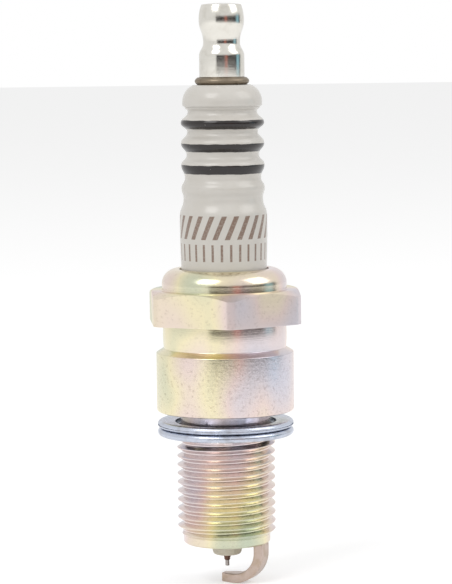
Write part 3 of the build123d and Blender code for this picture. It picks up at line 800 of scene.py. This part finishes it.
class PLUG_OT_electrodes(bpy.types.Operator):
    """Builds the ground strap, the centre wire, its weld and the fine tip"""
    bl_idname = "plug.electrodes"
    bl_label = "Electrodes"

    def execute(self, context):
        sizes = context.scene.plug_spark
        colours = context.scene.plug_colours
        alloy = drawn_metal("nickel_alloy", colours.alloy, 0.26, 0.6)
        mesh = strap_mesh(sizes)
        mesh.materials.append(alloy)
        smooth(mesh, 40)
        placed(shown("ground_strap", mesh), "plug_body", "nickel_alloy", "ground_electrode")
        wire = tagged(centre_wire_line())
        wire_metal = turned_metal("wire_alloy", tone(120, 92, 80), 0.3, 0.004, 0.5)
        placed(turned("centre_wire", wire, 48, wire_metal), "plug_body", "nickel_alloy", "centre_electrode")
        weld = turned("wire_weld", tagged([(0.0, -21.7), (0.3, -21.7), (0.4, -21.63), (0.434, -21.55),
                                           (0.434, -21.48), (0.42, -21.4), (0.0, -21.4)]), 40, wire_metal)
        placed(weld, "plug_body", "nickel_alloy", "tip_weld")
        radius = sizes.tip_diameter / 2 / MM
        fine = turned_metal("iridium", tone(176, 170, 168), 0.2, 0.002, 0.4)
        tip = turned("fine_tip", tagged(rounded([(0.0, -22.5), (radius, -22.5, 0.04), (radius, -21.7),
                                                 (0.0, -21.7)])), 40, fine)
        placed(tip, "plug_body", "iridium", "iridium_tip")
        return {"FINISHED"}


def centre_wire_line():
    """Outline of the centre wire: up the outside, over the head and down the hole for the copper."""
    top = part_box("centre_electrode")[1][2] / MM
    return [(0.0, -21.4), (0.42, -21.4), (0.62, -20.8), (1.25, -19.7), (1.25, -1.95), (1.9, -1.575), (1.9, top - 1.5),
            (1.4, top - 1.5), (1.4, top), (0.75, top), (0.75, -18.2), (0.0, -18.2)]


class PLUG_OT_inner_parts(bpy.types.Operator):
    """Gives the hidden inner parts their finishes"""
    bl_idname = "plug.inner_parts"
    bl_label = "Inner parts"

    def execute(self, context):
        packing = drawn_metal("packing_steel", tone(150, 148, 146), 0.34, 0.4)
        glass = powder("seal_glass", tone(96, 92, 88), 0.3, 2.5)
        finishes = {
            "seat_packing": packing,
            "lower_packing_ring": packing,
            "upper_packing_ring": packing,
            "talc_fill": powder("talc", tone(214, 210, 200), 0.7, 4.0),
            "upper_glass_seal": glass,
            "lower_glass_seal": glass,
            "resistor": powder("resistor_body", tone(46, 44, 44), 0.55, 5.0),
            "copper_core": drawn_metal("copper", tone(214, 138, 104), 0.25, 0.3),
        }
        for name, material in finishes.items():
            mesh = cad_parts[name].data
            mesh.materials.clear()
            mesh.materials.append(material)
        return {"FINISHED"}


def emitting(name, tint, strength):
    """Plain glowing material for a card that only reflections see."""
    material = bpy.data.materials.new(name)
    material.use_nodes = True
    tree = Tree(material.node_tree)
    material.node_tree.nodes.clear()
    glow = tree.add("ShaderNodeEmission", None, {"Color": tint, "Strength": strength})
    tree.add("ShaderNodeOutputMaterial", None, {0: glow})
    return material


def card(name, start, end, low, high, distance, tint):
    """Upright curved card that only reflections see, between two angles from the front towards +X."""
    steps = 12
    vertices = []
    for step in range(steps + 1):
        angle = math.radians(start + (end - start) * step / steps)
        x, y = distance * math.sin(angle), -distance * math.cos(angle)
        vertices += [(x, y, low), (x, y, high)]
    faces = [(2 * n, 2 * n + 2, 2 * n + 3, 2 * n + 1) for n in range(steps)]
    mesh = bpy.data.meshes.new(name)
    mesh.from_pydata(vertices, [], faces)
    mesh.materials.append(emitting(name, tint, 1.0))
    piece = shown(name, mesh)
    piece.visible_camera = False
    piece.visible_diffuse = False
    piece.visible_shadow = False
    piece.visible_transmission = False


def floor_material():
    """Pale floor that the camera sees as white outside the object's shadow."""
    material = bpy.data.materials.new("floor")
    material.use_nodes = True
    material.node_tree.nodes.clear()
    tree = Tree(material.node_tree)
    diffuse = tree.add("ShaderNodeBsdfDiffuse", None, {"Color": (0.86, 0.86, 0.86, 1)})
    path = tree.add("ShaderNodeLightPath").socket.node
    seen = Wire(tree, path.outputs["Is Camera Ray"]).high(Wire(tree, path.outputs["Is Glossy Ray"]))
    seen = seen.high(Wire(tree, path.outputs["Is Transmission Ray"]))
    glow = tree.add("ShaderNodeEmission", None, {"Color": (1, 1, 1, 1), "Strength": seen * 0.35})
    both = tree.add("ShaderNodeAddShader", None, {0: diffuse, 1: glow})
    tree.add("ShaderNodeOutputMaterial", None, {0: both})
    return material


def world_light():
    """Even studio light, white where the camera, gloss or glass sees it."""
    world = bpy.data.worlds.new("studio")
    world.use_nodes = True
    world.node_tree.nodes.clear()
    tree = Tree(world.node_tree)
    path = tree.add("ShaderNodeLightPath").socket.node
    seen = Wire(tree, path.outputs["Is Camera Ray"]).high(Wire(tree, path.outputs["Is Transmission Ray"]))
    glossy = Wire(tree, path.outputs["Is Glossy Ray"])
    strength = seen + (1 - seen) * (glossy * 0.92 + (1 - glossy) * 0.62)
    light = tree.add("ShaderNodeBackground", None, {"Color": (1, 1, 1, 1), "Strength": strength})
    tree.add("ShaderNodeOutputWorld", None, {0: light})
    bpy.context.scene.world = world


def lamp(name, place, aim, width, power):
    """Soft square lamp."""
    light = bpy.data.lights.new(name, "AREA")
    light.size = width
    light.energy = power
    holder = bpy.data.objects.new(name, light)
    holder.location = place
    holder.rotation_euler = (Vector(aim) - Vector(place)).to_track_quat("-Z", "Y").to_euler()
    bpy.context.scene.collection.objects.link(holder)


class PLUG_OT_stage(bpy.types.Operator):
    """Sets up the floor, the soft light, the reflection cards and the camera"""
    bl_idname = "plug.stage"
    bl_label = "Stage"

    def execute(self, context):
        low = CAD_BOX[0][2]
        mesh = bpy.data.meshes.new("floor")
        mesh.from_pydata([(-4, -4, low), (4, -4, low), (4, 4, low), (-4, 4, low)], [], [(0, 1, 2, 3)])
        mesh.materials.append(floor_material())
        shown("floor", mesh)
        world_light()
        lamp("key", (-0.5, -0.55, 0.7), (0, 0, 0.02), 0.5, 3.2)
        lamp("fill", (0.6, -0.2, 0.5), (0, 0, 0.02), 0.5, 1.4)
        card("dark_card", -32, 104, -0.02, 0.16, 0.62, tone(30, 24, 24))
        card("red_card", 12, 25, -0.02, 0.155, 0.60, tone(176, 96, 76))
        card("blue_card", 76, 96, -0.02, 0.155, 0.60, tone(140, 190, 208))
        self.camera(context)
        scene = context.scene
        scene.view_settings.view_transform = "Standard"
        return {"FINISHED"}

    def camera(self, context):
        azimuth = math.radians(4.4)
        place = Vector((-0.380 * math.sin(azimuth), -0.380 * math.cos(azimuth), 0.053))
        aim = Vector((0.00024, 0, 0.0169))
        data = bpy.data.cameras.new("camera")
        data.lens = 165.5
        data.sensor_width = 36
        holder = bpy.data.objects.new("camera", data)
        look = (aim - place).to_track_quat("-Z", "Y").to_matrix().to_4x4()
        holder.matrix_world = Matrix.Translation(place) @ look @ Matrix.Rotation(math.radians(-0.64), 4, "Z")
        context.scene.collection.objects.link(holder)
        context.scene.camera = holder


class PLUG_PT_sidebar(bpy.types.Panel):
    """Lists the pieces, their sizes and their colours"""
    bl_idname = "PLUG_PT_sidebar"
    bl_label = "Spark plug"
    bl_space_type = "VIEW_3D"
    bl_region_type = "UI"
    bl_category = "Spark plug"

    def draw(self, context):
        for operator in OPERATORS:
            self.layout.operator(operator.bl_idname)
        for name, kind in GROUPS.items():
            box = self.layout.box()
            for label in kind.__annotations__:
                box.prop(getattr(context.scene, name), label)


GROUPS = {
    "plug_shell": ShellSizes,
    "plug_ceramic": CeramicSizes,
    "plug_terminal": TerminalSizes,
    "plug_spark": SparkSizes,
    "plug_gasket": GasketSizes,
    "plug_colours": FinishColours,
}
OPERATORS = (PLUG_OT_shell, PLUG_OT_ceramic, PLUG_OT_terminal, PLUG_OT_gasket, PLUG_OT_electrodes,
             PLUG_OT_inner_parts, PLUG_OT_stage)


def register():
    for kind in (*GROUPS.values(), *OPERATORS, PLUG_PT_sidebar):
        bpy.utils.register_class(kind)
    for name, kind in GROUPS.items():
        setattr(bpy.types.Scene, name, bpy.props.PointerProperty(type=kind))


def unregister():
    for name in GROUPS:
        delattr(bpy.types.Scene, name)
    for kind in (PLUG_PT_sidebar, *OPERATORS, *GROUPS.values()):
        bpy.utils.unregister_class(kind)


def main():
    register()
    bpy.ops.plug.shell()
    bpy.ops.plug.ceramic()
    bpy.ops.plug.terminal()
    bpy.ops.plug.gasket()
    bpy.ops.plug.electrodes()
    bpy.ops.plug.inner_parts()
    bpy.ops.plug.stage()


if __name__ == "__main__":
    main()
